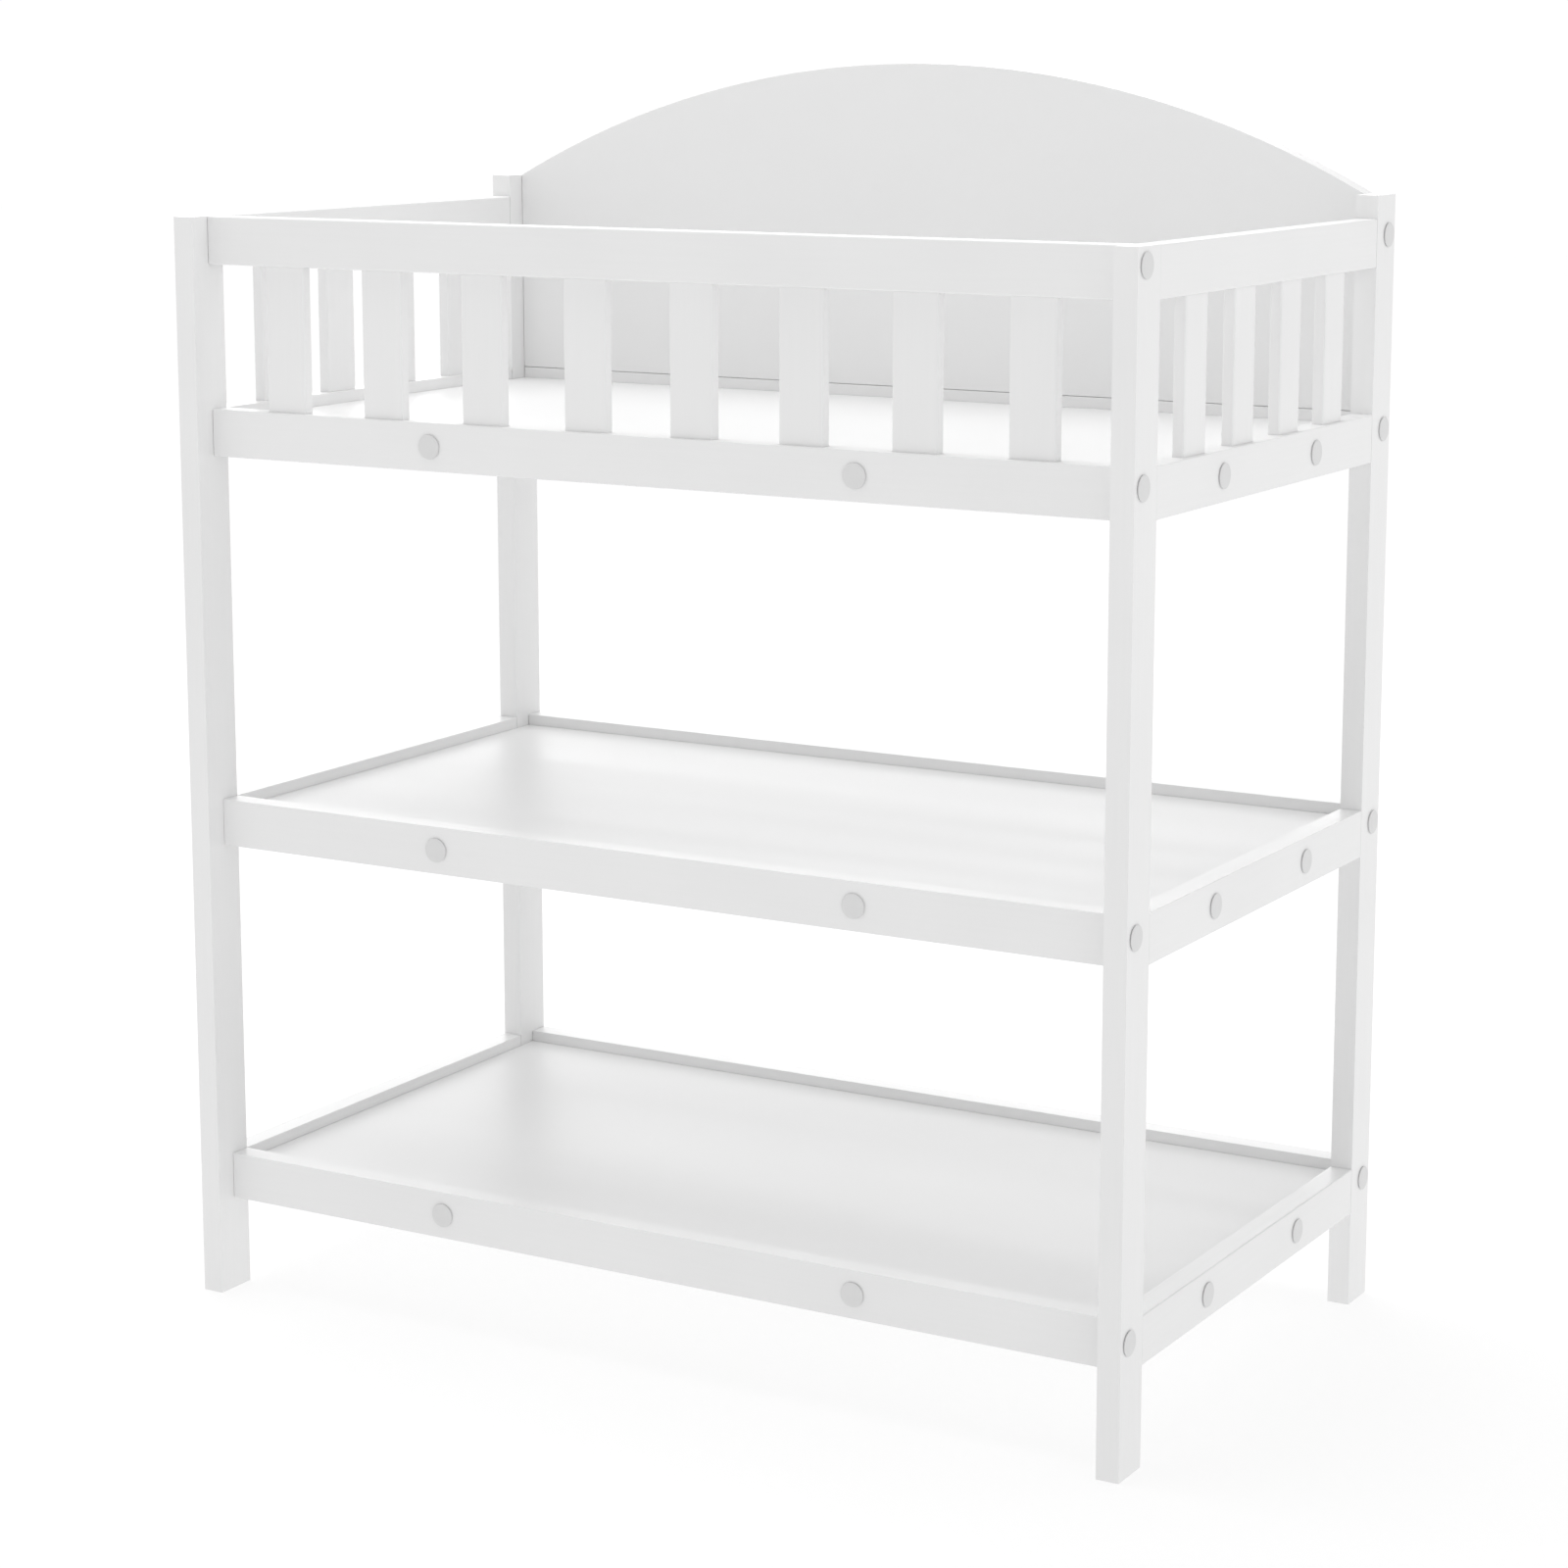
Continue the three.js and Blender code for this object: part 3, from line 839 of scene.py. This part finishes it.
for sideName, side in sides.items():
    for endName in ends:
        for number, level in enumerate(levels, 1):
            addSideJoint(sideName, endName, level, number)
    number = 1 if side < 0 else 2
    for endName, railLevels in (("front", levels), ("back", boardLevels)):
        for level in railLevels:
            rail = f"{endName}_{level}_rail"
            z = middleOf(rail).z
            heights = jointHeights[endName]
            addLongJoint(rail, side, z + mm(heights["bolt"]), z + mm(heights["dowel"]), number)
    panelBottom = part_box("arched_back_panel")[0].z
    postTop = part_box("back_left_post")[1].z
    for start, key in ((panelBottom, "panelLow"), (postTop, "panelHigh")):
        heights = jointHeights[key]
        addLongJoint("arched_back_panel", side, start + mm(heights["bolt"]),
                     start + mm(heights["dowel"]), number)
        number += 2
print("joints: cams, bolts, dowels and post caps in place")


# Board screws, two through each rail that carries a board, under cover caps except at the back.
def addBoardScrews(rail, outward, places, covered):
    low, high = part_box(rail)
    middle = (low + high) / 2
    z = high.z - mm(boardDrop) - boardHalf
    for number, offset in enumerate(places, 1):
        if outward[0]:
            origin = (high.x if outward[0] > 0 else low.x, offset, z)
        else:
            origin = (offset, high.y if outward[1] > 0 else low.y, z)
        addPiece(f"{rail}_screw_{number}", screwMesh, origin, outward)
        if covered:
            addPiece(f"{rail}_cover_{number}", capMesh, origin, outward)


boardLow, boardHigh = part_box("changing_deck")
boardHalf = (boardHigh.z - boardLow.z) / 2
longPlaces = [mm(-screwPlaces["long"]), mm(screwPlaces["long"])]
sidePlaces = [mm(-screwPlaces["side"]), mm(screwPlaces["side"])]
for level in boardLevels:
    addBoardScrews(f"front_{level}_rail", (0, -1, 0), longPlaces, True)
    addBoardScrews(f"back_{level}_rail", (0, 1, 0), longPlaces, False)
    for sideName, side in sides.items():
        addBoardScrews(f"{sideName}_{level}_rail", (side, 0, 0), sidePlaces, True)
print("board screws and rail caps in place")


# The floor is translucent and lit from below, so that shadows on it stay faint. It glows a little
# more away from the table, where the lamps no longer reach it.
studioFloor = {
    "size": 30,  # metres
    "below": 0.5,  # under the feet, so that they don't lie in it
    "white": "#a5a5a5",
    "fibreWhite": "#a1a1a1",
    "fibreSize": 8,
    "roughness": 0.9,
    "specular": 0.1,
    "glow": (0.68, 0.745),
    "glowRange": (0.6, 2.6),  # metres from the middle of the table
}


def mattAcrylic(name):
    floor = studioFloor
    material = newMaterial(name)
    tree = material.node_tree
    place = addNode(tree, "ShaderNodeTexCoord").outputs["Object"]
    fibre = addNode(tree, "ShaderNodeTexNoise", {}, {
        "Vector": place, "Scale": perMetre(floor["fibreSize"]), "Detail": 2.0})
    colour = addNode(tree, "ShaderNodeMix", {"data_type": "RGBA"}, {
        mixFactor: fibre.outputs["Fac"],
        mixFirst: linearColour(floor["white"]), mixSecond: linearColour(floor["fibreWhite"])})
    distance = addNode(tree, "ShaderNodeVectorMath", {"operation": "LENGTH"}, {0: place})
    glow = addNode(tree, "ShaderNodeMapRange", {"interpolation_type": "SMOOTHSTEP"}, {
        "Value": distance.outputs["Value"],
        "From Min": floor["glowRange"][0], "From Max": floor["glowRange"][1],
        "To Min": floor["glow"][0], "To Max": floor["glow"][1]})
    surface = addNode(tree, "ShaderNodeBsdfPrincipled", {}, {
        "Base Color": colour.outputs[mixResult], "Roughness": floor["roughness"],
        "Specular IOR Level": floor["specular"],
        "Emission Color": (1.0, 1.0, 1.0, 1.0), "Emission Strength": glow.outputs["Result"]})
    addNode(tree, "ShaderNodeOutputMaterial", {}, {"Surface": surface.outputs["BSDF"]})
    return material


def addFloor():
    mesh = bmesh.new()
    bmesh.ops.create_grid(mesh, x_segments=1, y_segments=1, size=studioFloor["size"] / 2)
    data = bpy.data.meshes.new("floor")
    mesh.to_mesh(data)
    mesh.free()
    data.materials.append(mattAcrylic("matt acrylic floor"))
    floor = bpy.data.objects.new("floor", data)
    floor.location.z = -mm(studioFloor["below"])
    bpy.context.scene.collection.objects.link(floor)


# The room is white all round at eye level. Above that it is dim overhead and straight ahead, and
# brighter to the left and right, where light comes in through broad diffusers.
room = {
    "eyeLevel": 1.02,
    "dim": 0.26,
    "diffusers": 0.92,
    "bandTop": (0.15, 0.45),  # height of the direction where the white band ends
}


def addRoom():
    world = bpy.data.worlds.new("white room")
    bpy.context.scene.world = world
    world.use_nodes = True
    tree = world.node_tree
    tree.nodes.clear()
    direction = addNode(tree, "ShaderNodeTexCoord").outputs["Generated"]
    part = addNode(tree, "ShaderNodeSeparateXYZ", {}, {"Vector": direction})
    sideways = addNode(tree, "ShaderNodeMath", {"operation": "ABSOLUTE"}, {0: part.outputs["X"]})
    above = addNode(tree, "ShaderNodeMath", {"operation": "MULTIPLY_ADD"}, {
        0: sideways.outputs["Value"], 1: room["diffusers"], 2: room["dim"]})
    strength = addNode(tree, "ShaderNodeMapRange", {"interpolation_type": "SMOOTHSTEP"}, {
        "Value": part.outputs["Z"], "From Min": room["bandTop"][0], "From Max": room["bandTop"][1],
        "To Min": room["eyeLevel"], "To Max": above.outputs["Value"]})
    background = addNode(tree, "ShaderNodeBackground", {}, {
        "Color": (1.0, 1.0, 1.0, 1.0), "Strength": strength.outputs["Result"]})
    addNode(tree, "ShaderNodeOutputWorld", {}, {"Surface": background.outputs["Background"]})


# The overhead panel lights the boards. The rear panel only mirrors in the paint, as a white card
# behind the table would, so that the boards get their sheen and the back isn't washed out.
lamps = {
    "overhead panel": {"place": (-0.4, 0.3, 3.2), "size": 2.4, "watts": 45, "sheenOnly": False},
    "rear panel": {"place": (-1.7, 2.9, 1.4), "size": 2.6, "watts": 38, "sheenOnly": True},
}


lampTarget = Vector((0, 0, 0.55))


def addLamps():
    for name, lamp in lamps.items():
        data = bpy.data.lights.new(name, "AREA")
        data.shape = "SQUARE"
        data.size = lamp["size"]
        data.energy = lamp["watts"]
        light = bpy.data.objects.new(name, data)
        light.location = lamp["place"]
        light.visible_diffuse = not lamp["sheenOnly"]
        light.rotation_euler = (lampTarget - light.location).to_track_quat("-Z", "Y").to_euler()
        bpy.context.scene.collection.objects.link(light)


viewpoint = {
    "place": (1.5411, -2.6330, 1.0692),
    "turnedLeft": 30.12,  # degrees from straight ahead
    "tiltedDown": 10.08,
    "sensor": 36,
    "lens": 84.8,
    "shift": (-0.0089, -0.06),
}


def addCamera():
    data = bpy.data.cameras.new("camera")
    data.sensor_width = viewpoint["sensor"]
    data.lens = viewpoint["lens"]
    data.shift_x, data.shift_y = viewpoint["shift"]
    data.dof.use_dof = False
    camera = bpy.data.objects.new("camera", data)
    camera.location = viewpoint["place"]
    camera.rotation_euler = (math.radians(90 - viewpoint["tiltedDown"]), 0,
                             math.radians(viewpoint["turnedLeft"]))
    bpy.context.scene.collection.objects.link(camera)
    bpy.context.scene.camera = camera


addFloor()
addRoom()
addLamps()
addCamera()
bpy.context.scene.view_settings.view_transform = "Standard"  # whites stay as bright as they are lit
print("studio: floor, room, lamps and camera")

bpy.context.view_layer.update()
